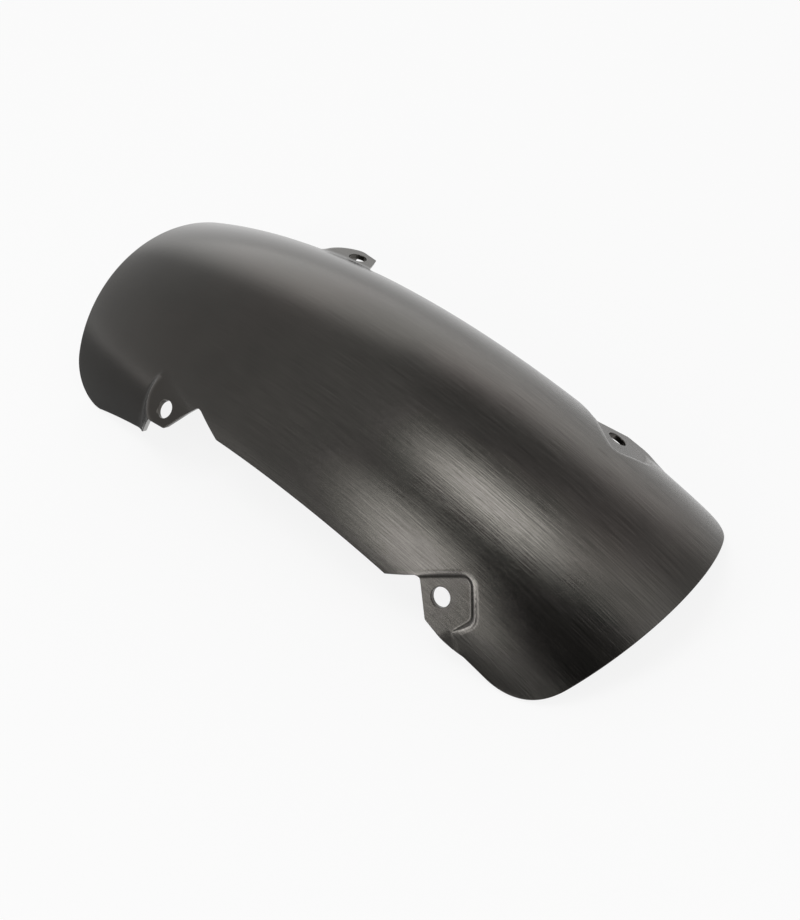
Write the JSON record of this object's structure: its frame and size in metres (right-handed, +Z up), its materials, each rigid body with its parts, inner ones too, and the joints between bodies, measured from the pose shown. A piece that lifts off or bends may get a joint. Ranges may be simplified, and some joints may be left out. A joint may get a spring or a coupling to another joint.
{
  "type": "motorcycle front fender",
  "caption": "Short arched front fender pressed from sheet metal, with a rounded cross section, trimmed skirts and flat screw pads pressed into the skirts.",
  "frame": {"origin": "centre of the bounding box at the height of the four lower corners on which the fender stands", "axes": "+X along the length towards the front end, +Y to the left side, +Z up through the crown"},
  "size_m": [0.2756, 0.1086, 0.0583],
  "materials": {
    "sheet": "dark anodised, brushed along its length"
  },
  "bodies": {
    "root": {"fender": "sheet"}
  },
  "joints": []
}
